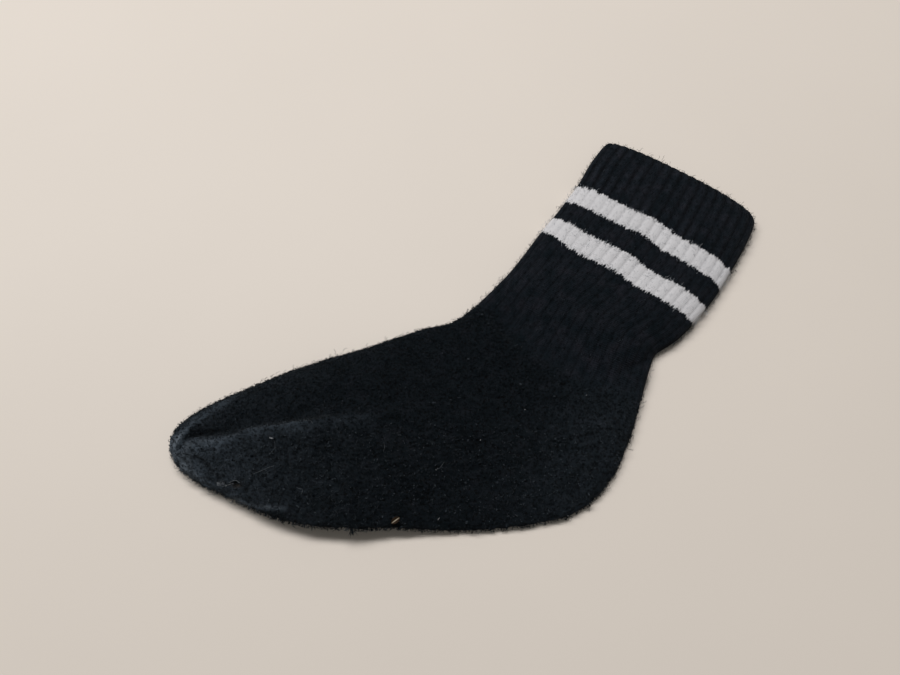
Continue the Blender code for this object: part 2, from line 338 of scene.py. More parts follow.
TUFTS = (
    # x, y, z, length, turn in degrees, count of fibres
    (-59.7, -106.8, 8.0, 3.8, -80, 26),
    (-67.5, -106.2, 8.2, 1.3, -100, 8),
    (-95.0, -101.0, 8.0, 1.6, -120, 9),
    (104.5, 88.0, 6.0, 1.6, 60, 10),
    (-72.0, -23.0, 5.0, 1.3, 110, 7),
    (146.8, 50.0, 4.5, 1.3, -10, 7),
)
CHAFF_PLACE = (-40.6, -102.9)
CHAFF_SIZE = (4.6, 2.7, 0.5, 0.1)  # length, width, curl, thickness
CHAFF_TURN = 36              # degrees

# The finish. A pair is a pattern's gain and what is added to it.
COTTON_IOR = 1.53
COTTON_SPECULAR = 0.04       # almost none: the fibres' own gloss is lost between them
COTTON_ROUGHNESS = 0.95
KNIT_SHEEN = 0.03
STRAND_SHEEN = 0.02
SHEEN_ROUGHNESS = 0.45
WALES_PER_RIB = 4
CREST_REACH = 0.00015        # how far the rings reach up on the ribs' crests, in metres
CLOUDS = ((12, 1.0, 0.0), (6, 3.0, 0.0), (4, 1.0, 0.0), (1.3, 3.0, 0.0), (0.9, 3.0, 0.0), (0.8, 4.0, 1.2),
          (0.3, 2.0, 0.0))   # size in millimetres, detail and distortion of the knit's soft noises
STREAKS = ((0.7, 2.5), (1.4, 4.0))  # width and length in millimetres of the streaks along the wales
GROOVE_SHARP = 3.0           # how narrow the painted shade line in each groove is
GROOVE_TONE = (-0.3, 1.04)   # what that line takes from the tone
BROAD_GROOVE = (-1.1, 0.34)  # the soft broad painted shade of the grooves above the rings, and where it lies
STREAK_TONE = (1.1, 0.45)    # the leg's streaks along the wales
MOTTLE_GAIN = 1.6            # soft patches all over
MOTTLE_BASE = (-0.05, 0.2)   # less in the foot
FIBRE_STREAKS = 0.6          # share of the leg's fibre pattern that runs along the wales
HEATHER = (6.0, -2.0)        # contrast between paler and darker fibres
HEATHER_TONE = (1.7, 0.15)   # what those fibres add to the tone
WORN_AND_LIT_HEATHER = (0.45, 0.75)  # how far the rubbing and the painted light even it out, and to what
RUST_GAIN = 0.9              # patches of the brownish tinge
RUST_BASE = (-0.16, -0.25)   # less in the foot
BLEACH_GAIN = 0.2            # unevenness of the white yarn, and the painted shade in its grooves
WHITE_GROOVE_SHADE = (-0.06, 0.87)
STITCH_RELIEF = 0.0003       # height of the stitches and the tangle that the finish draws, in metres
CHEVRON_SHARES = (0.3, 0.2)  # of that height, the courses' share and the wales'
LOOP_SIZE = 1.2              # size of the foot's loops in millimetres, drawn coarse enough to show
LOOP_WARP = (0.35, 2.0)      # how far the loops are pulled askew, and the size of the pull in millimetres
TANGLE_SHARE = 1.4           # height of the tangle beside the loops
LINT_SHARE = 0.5             # height of the finest fibres beside them
FLATTENED = (0.6, 0.45)      # how far the white yarn, the rubbing and the painted light flatten the relief
KNIT_VALUES = ("course", "terry", "wear_and_painted_light", "dirt", "inside")  # what each point of the knit holds
BAKE_MAP = "OFBake"          # map with the whole skin or all strands laid side by side

# The view and the light, in metres
CAMERA_PLACE = (-0.015925, -0.140417, 0.320)
CAMERA_TILT = math.radians(22)
CAMERA_LENS = 27.04
LAMP_PLACE = (-1.5, 1.738, 3.0)
LAMP_SIZE = (4.8, 0.9)       # a long ceiling panel, which faces straight down
LAMP_POWER = 186.0
SKY_STRENGTH = 0.18
SKY_COLOUR = "#f6f7f4"
LAMP_COLOUR = "#fefeff"
FLOOR_SIZE = 3.0
FLOOR_GAP = 0.00005          # keeps the floor just under the cloth that lies on it


class SockSizes(PropertyGroup):
    """Sizes of the knit that a user may change."""

    wall: FloatProperty(
        name="Wall", description="Thickness of the knitted cloth",
        default=0.0019, min=0.001, max=0.003, unit="LENGTH")
    ribs: IntProperty(
        name="Ribs", description="Ribs round the leg, two plain wales and two purl wales each",
        default=36, min=24, max=42)
    rib_depth: FloatProperty(
        name="Rib depth", description="Depth of the grooves between the ribs",
        default=0.0005, min=0.0, max=0.001, unit="LENGTH")
    course: FloatProperty(
        name="Course", description="Height of one course of stitches",
        default=0.00095, min=0.0006, max=0.002, unit="LENGTH")
    matting: FloatProperty(
        name="Matting", description="Height of the lumps into which the terry of the foot has matted",
        default=0.0004, min=0.0, max=0.001, unit="LENGTH")
    pile_height: FloatProperty(
        name="Pile height", description="Height of the terry loops",
        default=0.0007, min=0.0003, max=0.002, unit="LENGTH")
    yarn: FloatProperty(
        name="Yarn", description="Thickness of the pile yarn",
        default=0.00028, min=0.0001, max=0.0005, unit="LENGTH")


class SockColours(PropertyGroup):
    """Colours of the yarns, the litter and the surface that the sock lies on."""

    black: FloatVectorProperty(
        name="Black yarn", description="Dyed black cotton, where it is least worn",
        subtype="COLOR", default=colour("#090f13"))
    # Paler colour of the rubbed toes, and of the painted sheen and painted highlights on the knit
    faded_and_highlight: FloatVectorProperty(
        name="Faded yarn", description="Black cotton rubbed pale at the toes",
        subtype="COLOR", default=colour("#2c3238"))
    rusty: FloatVectorProperty(
        name="Rusty yarn", description="Brownish tinge that old black dye takes on in places",
        subtype="COLOR", default=colour("#151013"))
    # On the knit and the loose fibres, also the colour of the brightest painted highlights: the toe's end,
    # the lip and the rim at the outline
    fibre: FloatVectorProperty(
        name="Fibre ends", description="Palest of the rubbed black fibres that catch the light",
        subtype="COLOR", default=colour("#474d53"))
    curl: FloatVectorProperty(
        name="Curled fibres", description="Loose fibres that lie curled on the worn terry",
        subtype="COLOR", default=colour("#565c62"))
    white: FloatVectorProperty(
        name="White yarn", description="Bleached cotton of the two rings, a little greyed by washing",
        subtype="COLOR", default=colour("#c9c7c8"))
    dirt: FloatVectorProperty(
        name="Dirt", description="Grey-brown dirt in the worn spot",
        subtype="COLOR", default=colour("#26211d"))
    lint: FloatVectorProperty(
        name="Lint", description="Pale fibres caught in the pile",
        subtype="COLOR", default=colour("#b9bcc0"))
    chaff: FloatVectorProperty(
        name="Chaff", description="Dry flake of straw caught at the sole",
        subtype="COLOR", default=colour("#241708"))
    floor: FloatVectorProperty(
        name="Floor", description="Pale painted surface",
        subtype="COLOR", default=colour("#d9cfc4"))


class SockAmounts(PropertyGroup):
    """How much of each fine thing stands on the knit."""

    loops: IntProperty(
        name="Pile loops", description="Terry loops in each of the foot's pile pieces",
        default=9000, min=0, max=12000)
    hairs: IntProperty(
        name="Hairs", description="Loose fibre ends over the whole sock",
        default=9000, min=0, max=12000)
    curls: IntProperty(
        name="Curled fibres", description="Longer fibres that lie curled on the sole and the toes",
        default=900, min=0, max=5000)
    pills: IntProperty(
        name="Pills", description="Little balls of tangled fibre",
        default=170, min=0, max=400)
    seed: IntProperty(
        name="Seed", description="Chooses another arrangement of the same kind",
        default=7, min=0)


# ---------------------------------------------------------------- shaping
def through(values, share):
    """Read a smooth curve through evenly spaced values, at 0 for the first and 1 for the last."""
    last = len(values) - 1
    place = np.clip(share, 0, 1) * last
    i = np.minimum(place.astype(int), last - 1)
    t = place - i
    before, start, end, after = (values[np.clip(i + k, 0, last)] for k in (-1, 0, 1, 2))
    slope = end - before
    bend = 2 * before - 5 * start + 4 * end - after
    twist = 3 * (start - end) + after - before
    return start + 0.5 * t * (slope + t * (bend + t * twist))


def signed_power(values, exponent):
    """Power that keeps the sign of its numbers."""
    return np.sign(values) * np.abs(values) ** exponent


def smooth_step(values, start, end):
    """0 before start and 1 past end, with a soft change between."""
    t = np.clip((values - start) / (end - start), 0, 1)
    return t * t * (3 - 2 * t)


def read_table(table, at):
    """Straight-line reading of a table of (place, value) pairs."""
    places, values = np.array(table).T
    return np.interp(at, places, values)


def lumps(points, size, seed):
    """Smooth noise from -1 to 1 at points in millimetres, with lumps of about this size."""
    shift = Vector((17.3, 5.1, 9.7)) * seed
    flat = (np.asarray(points) / size).reshape(-1, 3)
    found = np.array([noise.noise(Vector(point) + shift) for point in flat])
    return found.reshape(np.shape(points)[:-1])


def unit(vectors):
    """The same directions at length 1."""
    return vectors / np.maximum(np.linalg.norm(vectors, axis=-1, keepdims=True), 1e-12)


def plain_tube(along, shares):
    """Points of the plain tube in millimetres, with how far across its section each lies (-1 at the
    front, 1 at the back) and how high (-1 under, 1 on top). along has one value for each row, and
    shares has each column's share of the way round, which starts at the front and goes over the top."""
    front_x, front_y, back_x, back_y, height, bow, lift = (
        through(column, along)[:, None] for column in SECTIONS.T)
    angle = np.linspace(0, math.tau, LOOP_STEPS + 1)
    fullness = np.where(angle <= math.pi, TOP_FULLNESS, UNDER_FULLNESS)
    across = -signed_power(np.cos(angle), 2 / fullness)
    rise = signed_power(np.sin(angle), 2 / fullness)
    span_x, span_y = back_x - front_x, back_y - front_y
    width = np.hypot(span_x, span_y)
    bowed = bow * (1 - across ** 2)
    x = front_x + span_x * (1 + across) / 2 - span_y / width * bowed
    y = front_y + span_y * (1 + across) / 2 + span_x / width * bowed
    edge = height * EDGE_SHARE
    raised = lift * np.maximum(0, (across - LIFT_START) / (1 - LIFT_START)) ** 2
    above = edge + raised + (height - edge - raised) * rise
    below = np.maximum(0, edge * (1 + UNDER_PRESS * rise)) + raised
    z = np.where(rise > 0, above, below)
    steps = np.sqrt(np.diff(x) ** 2 + np.diff(y) ** 2 + np.diff(z) ** 2)
    run = np.pad(np.cumsum(steps, axis=1), ((0, 0), (1, 0)))
    found = np.empty(shares.shape + (5,))
    for row, share in enumerate(shares):
        at = share % 1 * run[row, -1]
        for k, values in enumerate((x[row], y[row], z[row], across, rise)):
            found[row, :, k] = np.interp(at, run[row], values)
    return found[..., :3], found[..., 3], found[..., 4]


def fold_lift(x, y, folds=FOLDS):
    """Rise of the upper panel at places in millimetres, from all these folds together, or the share of
    lines that are set out as folds are."""
    total = np.zeros_like(x)
    for points, left_width, right_width, lift in folds:
        points = np.array(points, float)
        steps = np.diff(points, axis=0)
        lengths = np.hypot(*steps.T)
        starts = np.cumsum(lengths) - lengths
        nearest = np.full_like(x, np.inf)
        share = np.zeros_like(x)
        width = np.ones_like(x)
        for point, step, length, start in zip(points, steps, lengths, starts):
            off_x, off_y = x - point[0], y - point[1]
            t = np.clip((off_x * step[0] + off_y * step[1]) / length ** 2, 0, 1)
            distance = np.hypot(off_x - t * step[0], off_y - t * step[1])
            is_left = step[0] * off_y - step[1] * off_x > 0
            closer = distance < nearest
            nearest = np.where(closer, distance, nearest)
            share = np.where(closer, (start + t * length) / lengths.sum(), share)
            width = np.where(closer, np.where(is_left, left_width, right_width), width)
        fade = smooth_step(np.minimum(share, 1 - share), 0, FOLD_FADE)
        total += lift * fade * np.exp(-((nearest / width) ** 2))
    return total


def outward(grid):
    """Unit normals of a grid of points whose rows run round the tube and whose last column is its first."""
    ring = grid[:, :-1]
    around = np.roll(ring, -1, axis=1) - np.roll(ring, 1, axis=1)
    down = np.gradient(ring, axis=0)
    normals = unit(np.cross(down, around))
    return np.concatenate([normals, normals[:, :1]], axis=1)


def row_places(first):
    """Shares of the way from the mouth to the toe at which the outer rows lie, and each one's distance
    from the mouth in millimetres, from the first one's. They lie closer in the foot, which is uneven
    along the tube too."""
    along = np.linspace(0, 1, 2001)
    middle = np.stack([through(SECTIONS[:, k] + SECTIONS[:, k + 2], along) / 2 for k in (0, 1)], axis=1)
    steps = np.hypot(*np.diff(middle, axis=0).T)
    foot = smooth_step(along[1:] * LAST_SECTION, 7.0, 10.5)
    weighted = np.concatenate([[0], np.cumsum(steps * (1 + (FOOT_DENSITY - 1) * foot))])
    places = np.interp(np.linspace(first, weighted[-1], OUTER_ROWS - CAP_ROWS + 1), weighted, along)
    return places, np.interp(places, along, np.concatenate([[0], np.cumsum(steps)]))


def rib_shape(shares, ribs):
    """Height across the ribs: 1 on their broad round crests and 0 in the narrow grooves."""
    across_rib = 2 * (shares * ribs % 1) - 1
    return 1 - np.abs(across_rib) ** GROOVE_POWER


def rounded_end(rows, centre, reach):
    """Rows that shrink to a point past the last of these rows, as a rounded end."""
    turn = np.linspace(0, math.pi / 2, CAP_ROWS + 1)[1:, None, None]
    return centre + (rows[-1] - centre) * np.cos(turn) + reach * np.sin(turn)


def knit_grid(sizes, seed):
    """The whole closed skin as rows of points in metres, from the toe outside over the mouth to the toe
    inside, with each point's values: course (metres from the mouth), terry, wear_and_painted_light, dirt and
    inside."""
    rng = np.random.default_rng(seed)
    columns = sizes.ribs * COLUMNS_PER_RIB
    wall = sizes.wall / MM
    share = np.linspace(0, 1, columns + 1)
    along, distance = row_places(wall / 2)

    # The ribs don't run quite evenly or straight.
    wander = np.zeros((len(along), columns + 1))
    for waves in (1, 2, 3, 5):
        phase, drift = rng.uniform(0, math.tau), rng.uniform(-9, 9)
        wander += RIB_WANDER / waves * np.sin(math.tau * waves * share + phase + drift * along[:, None])
    shares = share + wander / CIRCUMFERENCE

    base, across, rise = plain_tube(along, shares)
    top = np.clip(rise, 0, 1)
    section = along[:, None] * LAST_SECTION
    ribbed = 1 - smooth_step(section, read_table(RIB_END, across), read_table(RIB_END, across) + RIB_FADE)

    outside = base.copy()
    outside[..., 2] += fold_lift(base[..., 0], base[..., 1]) * top
    outside[..., 2] += SAG * lumps(base, SAG_SIZE, 1) * top
    normals = outward(outside)

    # Ribs, the matted terry and the pit of the worn spot are relief along the normals.
    depth = 1 + RIB_UNEVEN * np.repeat(rng.uniform(-1, 1, sizes.ribs), COLUMNS_PER_RIB)
    depth = np.append(depth, depth[0])
    grooves = sizes.rib_depth / MM * depth * (rib_shape(share, sizes.ribs) - RIB_LEVEL)
    usual, wandering = RIB_PATCHES
    patches = usual + wandering * lumps(base, PATCH_SIZE, 2)
    relief = grooves * (RIB_REST + (1 - RIB_REST) * ribbed) * patches
    matting = sizes.matting / MM * sum(lumps(base, size, 3 + k) for k, size in enumerate(MAT_SIZES))
    matting *= MAT_SHARES[0] + MAT_SHARES[1] * smooth_step(-base[..., 1], *SOLE_SIDE)
    relief += matting * (LEG_MATTING + (1 - LEG_MATTING) * (1 - ribbed)) - PILE_SINK * (1 - ribbed)
    from_spot = np.hypot(*np.moveaxis((base[..., :2] - WORN_SPOT) / WORN_SIZE, -1, 0))
    from_spot += WORN_RAGGED[0] * lumps(base, WORN_RAGGED[1], 5)
    pit = np.exp(-from_spot ** 4) * (top > 0)
    rim = np.exp(-((from_spot - RIM_PLACE[0]) / RIM_PLACE[1]) ** 2) * (top > 0)
    relief += WORN_RIM * rim - WORN_DEPTH * pit
    relief *= 1 - smooth_step(along, RELIEF_END, 1.0)[:, None]
    outside += normals * relief[..., None]

    # The inside follows the outside a wall's thickness further in.
    inner_steps = np.linspace(0, 1, INNER_ROWS - CAP_ROWS + 1) ** INNER_CROWDING
    inner_along = along[0] + (INNER_END - along[0]) * inner_steps
    inner_shares = np.tile(share + wander[0] / CIRCUMFERENCE, (len(inner_along), 1))
    inner, _, inner_rise = plain_tube(inner_along, inner_shares)
    lowered = np.minimum(fold_lift(inner[..., 0], inner[..., 1]), 0) * np.clip(inner_rise, 0, 1)
    inner_ribs = INNER_RIB * rib_shape(share, sizes.ribs)[None, :, None]
    inner = inner - outward(inner) * (wall - inner_ribs)
    inner[..., 2] += lowered

    # The welt rounds over from the one to the other.
    turn = np.linspace(0, math.pi, RIM_ROWS + 1)[1:-1, None, None]
    half = (outside[0] - inner[0]) / 2
    reach = unit(outside[0] - outside[1]) * np.linalg.norm(half, axis=-1, keepdims=True)
    welt = (outside[0] + inner[0]) / 2 + half * np.cos(turn) + reach * np.sin(turn)

    toe_in = np.array([-1.0, 0.0, 0.0])
    tip = rounded_end(outside, outside[-1, :-1].mean(axis=0), toe_in * TIP_REACH)
    inner_tip = rounded_end(inner, inner[-1, :-1].mean(axis=0), toe_in * TIP_REACH)
    rows = np.concatenate([np.concatenate([outside, tip])[::-1], welt, inner, inner_tip])
    rows[..., 2] = np.maximum(rows[..., 2], 0)

    # Values that the finish reads, with the same rows
    pull = read_table(COURSE_PULL, across) * top
    squeezed = FRONT_SQUEEZE * smooth_step(-across, FRONT_START, 1.0)
    pull += squeezed * (np.clip(distance, SQUEEZE_START, SQUEEZE_END) - SQUEEZE_START)[:, None]
    course = distance[:, None] + pull
    x, y = base[..., 0], base[..., 1]
    # Paleness painted into the knit: the toes are rubbed pale and painted with sheen, the heel is paler, and
    # the lines add painted highlights and painted shade
    toes = read_table(TOE_WEAR_AND_SHEEN, x) * (TOP_WEAR_AND_SHEEN + (1 - TOP_WEAR_AND_SHEEN) * smooth_step(-y, *TOE_SIDE))
    heel = HEEL_PALENESS * smooth_step(x - 0.5 * y, *HEEL_REACH) * (1 - ribbed)
    strength, size = WEAR_AND_LIGHT_PATCHES
    wear_and_painted_light = (toes + heel + fold_lift(x, y, PAINTED_LIGHT_LINES)) * (1 + strength * lumps(base, size, 6))
    wear_and_painted_light = np.clip(wear_and_painted_light, 0, 2) * smooth_step(rise, UNDER_EDGE, 0.0)
    inner_course = np.interp(inner_along, along, distance)[:, None] + 0 * share

    def stacked(outer_values, inner_values):
        outer_rows = np.concatenate([outer_values, np.repeat(outer_values[-1:], CAP_ROWS, axis=0)])[::-1]
        inner_rows = np.concatenate([inner_values, np.repeat(inner_values[-1:], CAP_ROWS, axis=0)])
        blend = turn[:, :, 0] / math.pi
        return np.concatenate([
            outer_rows, outer_values[:1] * (1 - blend) + inner_values[:1] * blend, inner_rows])

    plain = np.zeros_like(inner_course)
    values = {
        "course": stacked(course, inner_course) * MM,
        "terry": stacked(1 - ribbed, plain),
        "wear_and_painted_light": stacked(wear_and_painted_light, plain),
        "dirt": stacked(pit, plain),
        "inside": stacked(np.zeros_like(course), plain + 1),
    }
    return rows * MM, values


def finished(bm, name):
    """A smooth mesh of what has been shaped, which is then let go."""
    mesh = bpy.data.meshes.new(name)
    bm.to_mesh(mesh)
    bm.free()
    mesh.shade_smooth()
    return mesh


def mapped_grid(name, rows, values):
    """A mesh that maps a grid to rows of points. Its first and last columns are welded, and so is each
    end row that is one point. The knit map holds each corner's share of the way round and its course."""
    row_count, column_count = rows.shape[0] - 1, rows.shape[1] - 1
    bm = bmesh.new()
    bmesh.ops.create_grid(bm, x_segments=column_count, y_segments=row_count, size=0.5)
    mesh = finished(bm, name)
    flat = read_all(mesh.vertices, "co", 3)[:, :2]
    column, row = np.rint((flat + 0.5) * (column_count, row_count)).astype(int).T
    mesh.vertices.foreach_set("co", rows[row, column].ravel())
    for key, found in values.items():
        layer = mesh.attributes.new(key, "FLOAT", "POINT")
        layer.data.foreach_set("value", found[row, column].astype(np.float32))
    corner = read_all(mesh.loops, "vertex_index", kind=int)
    column, row = column[corner], row[corner]
    write_map(mesh, "knit", column / column_count, values["course"][row, column])
    write_map(mesh, BAKE_MAP, column / column_count, row / row_count)
    return welded(mesh)


def write_map(mesh, name, across, up):
    """Give the mesh a map with these places for its corners."""
    places = np.stack([across, up], axis=1).astype(np.float32)
    mesh.uv_layers.new(name=name).uv.foreach_set("vector", places.ravel())


def welded(mesh):
    """Make the mesh's points that lie on one another one, and shade it smooth."""
    bm = bmesh.new()
    bm.from_mesh(mesh)
    bmesh.ops.remove_doubles(bm, verts=bm.verts, dist=MERGE)
    bm.to_mesh(mesh)
    bm.free()
    mesh.shade_smooth()
    return mesh


def read_all(items, name, width=1, kind=float):
    """A property of all of a mesh's items as an array."""
    found = np.empty(len(items) * width, kind)
    items.foreach_get(name, found)
    return found.reshape(-1, width) if width > 1 else found


def outer_faces(knit):
    """The knit's outside and the outer half of its welt as arrays with a row for each face: corners,
    normals, centre, area and values."""
    mesh = knit.data
    start = read_all(mesh.polygons, "loop_start", kind=int)
    is_quad = read_all(mesh.polygons, "loop_total", kind=int) == 4
    vertex = read_all(mesh.loops, "vertex_index", kind=int)
    corners = vertex[start[is_quad][:, None] + np.arange(4)]
    values = {key: read_all(mesh.attributes[key].data, "value")[corners] for key in KNIT_VALUES}
    outside = values["inside"].max(axis=1) < 0.7
    faces = {key: found[outside].mean(axis=1) for key, found in values.items()}
    faces["corners"] = read_all(mesh.vertices, "co", 3)[corners[outside]]
    faces["normals"] = read_all(mesh.vertex_normals, "vector", 3)[corners[outside]]
    faces["centre"] = faces["corners"].mean(axis=1) / MM
    faces["area"] = read_all(mesh.polygons, "area")[is_quad][outside]
    return faces


def planted(faces, weight, count, rng):
    """Random places on the faces, more where weight is more: their points, normals and face numbers."""
    chance = faces["area"] * weight
    face = rng.choice(len(chance), size=count, p=chance / chance.sum())
    a, b = rng.random((2, count, 1))
    shares = ((1 - a) * (1 - b), a * (1 - b), a * b, (1 - a) * b)
    place = sum(share * faces["corners"][face, k] for k, share in enumerate(shares))
    normal = unit(sum(share * faces["normals"][face, k] for k, share in enumerate(shares)))
    return place, normal, face


def sideways(normals, rng):
    """A random direction along the surface at each normal."""
    loose = rng.normal(size=normals.shape)
    return unit(loose - normals * (loose * normals).sum(axis=1, keepdims=True))


def routes_from(places, normals, along, shape, reach, tall, sink=0.0):
    """Routes that start at places, with their first points sunk by so many metres. shape is one of the
    shapes of short strands, and reach and tall have one size in metres for each route."""
    routes = [places + along * (far * reach)[:, None] + normals * (high * tall)[:, None]
              for far, high in shape]
    routes[0] -= normals * sink
    return np.stack(routes, axis=1)


def strands(name, routes, radii, tones):
    """A mesh of fine closed strands. Each route is a row of points, radii has a radius for each point, and
    each strand has a tone from 0 to 1. The bake map gives each strand a cell of its own."""
    curve = bpy.data.curves.new(name, "CURVE")
    curve.dimensions = "3D"
    curve.bevel_depth = 1.0
    curve.bevel_resolution = 0
    curve.use_fill_caps = True
    radii = np.broadcast_to(radii, routes.shape[:2])
    routes = routes.copy()
    routes[..., 2] = np.maximum(routes[..., 2], radii)
    routes = np.concatenate([routes, np.ones_like(routes[..., :1])], axis=2)
    for route, radius in zip(routes, radii):
        spline = curve.splines.new("POLY")
        spline.points.add(len(route) - 1)
        spline.points.foreach_set("co", route.ravel())
        spline.points.foreach_set("radius", radius)
    holder = bpy.data.objects.new(name, curve)
    mesh = bpy.data.meshes.new_from_object(holder)
    bpy.data.objects.remove(holder)
    bpy.data.curves.remove(curve)
    per_strand = len(mesh.vertices) // len(routes)
    strand, step = np.divmod(np.arange(len(mesh.vertices)), per_strand)
    tone = mesh.attributes.new("tone", "FLOAT", "POINT")
    tone.data.foreach_set("value", np.asarray(tones)[strand].astype(np.float32))
    while mesh.uv_layers:
        mesh.uv_layers.remove(mesh.uv_layers[0])
    side = math.ceil(math.sqrt(len(routes)))
    up, across = np.divmod(strand, side)
    sides = per_strand // routes.shape[1]
    corner = read_all(mesh.loops, "vertex_index", kind=int)
    across = (across + CELL[0] + CELL[1] * (step % sides) / sides) / side
    up = (up + CELL[0] + CELL[1] * (step // sides) / routes.shape[1]) / side
    write_map(mesh, BAKE_MAP, across[corner], up[corner])
    return welded(mesh)


def upper_points(faces, places):
    """Points in metres on the upper panel, over the places that the rows start with in millimetres."""
    upper = faces["centre"][faces["normals"].mean(axis=1)[:, 2] > 0.2]
    nearest = [np.argmin(np.hypot(*(upper[:, :2] - place[:2]).T)) for place in places]
    return upper[nearest] * MM


def bent_route(points, lift):
    """One smooth route through these points, lifted by so much."""
    steps = np.linspace(0, 1, BENT_POINTS)
    return np.stack([through(column, steps) for column in (points + (0, 0, lift)).T], axis=1)[None]


def tangle(centre, reach, count, rng):
    """Routes of so many fibres that wander through a flattened ball, whose half axes are in millimetres."""
    start = rng.normal(scale=TANGLE_START, size=(count, 1, 3))
    route = start + np.cumsum(rng.normal(scale=TANGLE_STEP, size=(count, TANGLE_POINTS, 3)), axis=1)
    route /= np.maximum(1, np.linalg.norm(route, axis=2, keepdims=True))
    return centre + route * reach * MM


def husk(place):
    """An almond-shaped flake of husk, curled up along its sides, that lies turned at a place."""
    length, width, curl, thickness = (size * MM for size in CHAFF_SIZE)
    bm = bmesh.new()
    bmesh.ops.create_grid(bm, x_segments=10, y_segments=6, size=1.0)
    rim = bm.verts.layers.float.new("rim")
    for vert in bm.verts:
        along, across = vert.co.x, vert.co.y
        vert[rim] = abs(across)
        narrow = max(0.04, 1 - along ** 2) ** 0.6
        vert.co = (along * length / 2, across * narrow * width / 2, curl * (across ** 2 + 0.4 * along ** 3))
    bmesh.ops.recalc_face_normals(bm, faces=bm.faces)
    bmesh.ops.solidify(bm, geom=bm.faces[:], thickness=thickness)
    bmesh.ops.rotate(bm, verts=bm.verts, matrix=Matrix.Rotation(math.radians(CHAFF_TURN), 3, "Z"))
    bmesh.ops.translate(bm, verts=bm.verts, vec=Vector(place) + Vector((0, 0, 0.5 * MM)))
    bmesh.ops.recalc_face_normals(bm, faces=bm.faces)
    return finished(bm, "chaff_flake")


def new_piece(name, mesh, material):
    """Put a finished mesh in the scene as a piece that rides on the sock's body."""
    mesh.materials.append(material)
    piece = bpy.data.objects.new(name, mesh)
    bpy.context.scene.collection.objects.link(piece)
    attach(piece, "root")
    return piece


def new_strands(name, routes, radii, tones, material):
    """Put strands in the scene as such a piece."""
    new_piece(name, strands(name, routes, radii, tones), material)


def start_step(context, step):
    """What a step on the knit starts from: the colours and amounts that the user has set, random numbers
    of its own, and the knit's outer faces."""
    scene = context.scene
    rng = np.random.default_rng(scene.sock_amounts.seed + step)
    return scene.sock_colours, scene.sock_amounts, rng, outer_faces(bpy.data.objects["sock_knit"])


# ---------------------------------------------------------------- materials
def add(tree, kind, inputs=(), output=None, **settings):
    """Add a node with its settings and links, and return an output of it, the first in use unless one is
    named. kind is its type without the prefix, with its operation where it has one, such as "Math ADD".
    inputs has values and other nodes' outputs, in the order of the sockets in use or by their names."""
    kind, _, operation = kind.partition(" ")
    made = tree.nodes.new("ShaderNode" + kind)
    if operation:
        made.operation = operation
    for name, value in settings.items():
        setattr(made, name, value)
    sockets = [socket for socket in made.inputs if socket.enabled]
    if isinstance(inputs, dict):
        sockets = [next(socket for socket in sockets if socket.name == name) for name in inputs]
        inputs = inputs.values()
    for socket, value in zip(sockets, inputs):
        if isinstance(value, bpy.types.NodeSocket):
            tree.links.new(value, socket)
        else:
            socket.default_value = value
    return made.outputs[output] if output else next(socket for socket in made.outputs if socket.enabled)


def plain_material(name, roughness, specular):
    """A material with no pattern yet, its node tree and its shader."""
    material = bpy.data.materials.new(name)
    material.use_nodes = True
    shader = material.node_tree.nodes["Principled BSDF"]
    shader.inputs["Roughness"].default_value = roughness
    shader.inputs["Specular IOR Level"].default_value = specular
    return material, material.node_tree, shader


def cotton(name, sheen):
    """A cotton material with no pattern yet: matt, with a low soft sheen from its fibre ends."""
    material, tree, shader = plain_material(name, COTTON_ROUGHNESS, COTTON_SPECULAR)
    shader.inputs["IOR"].default_value = COTTON_IOR
    shader.inputs["Sheen Weight"].default_value = sheen
    shader.inputs["Sheen Roughness"].default_value = SHEEN_ROUGHNESS
    return material, tree, shader


